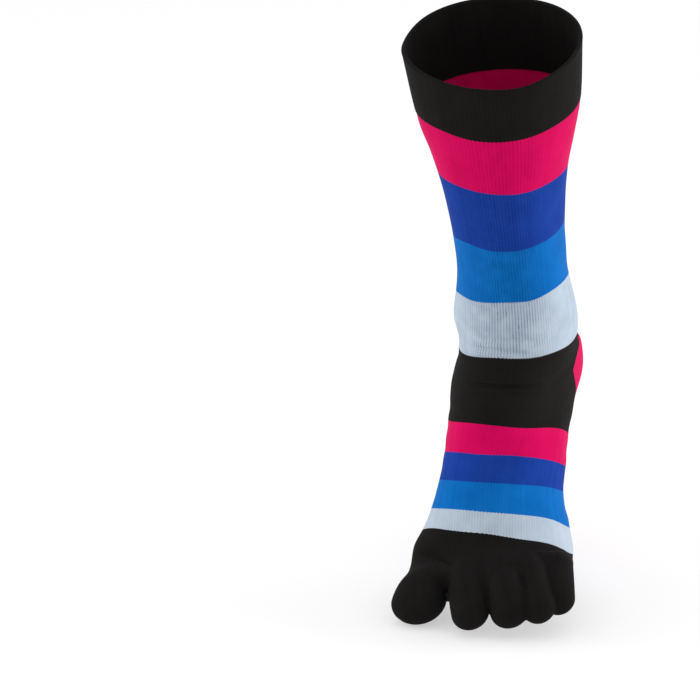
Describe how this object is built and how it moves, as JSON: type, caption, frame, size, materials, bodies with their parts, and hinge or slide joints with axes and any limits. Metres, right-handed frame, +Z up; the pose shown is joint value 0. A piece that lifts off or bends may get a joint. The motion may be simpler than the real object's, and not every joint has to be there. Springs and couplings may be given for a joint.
{
  "type": "toe sock",
  "caption": "Crew toe sock for the left foot in its worn shape, black with bright stripes, a separate pocket for each toe and a deep plain cuff.",
  "frame": {"origin": "middle of the leg opening, in the plane of the cuff edge", "axes": "+Z up with the toes pressed to the floor, -Y towards the toes, +X towards the little toe"},
  "size_m": [0.1072, 0.2022, 0.3458],
  "materials": {
    "knit_black": "matt fine jersey knit",
    "knit_pink": "matt fine jersey knit",
    "knit_royal": "matt fine jersey knit",
    "knit_azure": "matt fine jersey knit",
    "knit_grey": "matt fine jersey knit"
  },
  "bodies": {
    "root": {"cuff": "knit_black", "leg_band_pink": "knit_pink", "leg_band_royal": "knit_royal", "leg_band_azure": "knit_azure", "leg_band_grey": "knit_grey", "ankle_and_instep": "knit_black", "heel_patch": "knit_pink", "foot_band_pink": "knit_pink", "foot_band_royal": "knit_royal", "foot_band_azure": "knit_azure", "foot_band_grey": "knit_grey", "forefoot": "knit_black", "toe_big": "knit_black", "toe_second": "knit_black", "toe_third": "knit_black", "toe_fourth": "knit_black", "toe_little": "knit_black"}
  },
  "joints": []
}
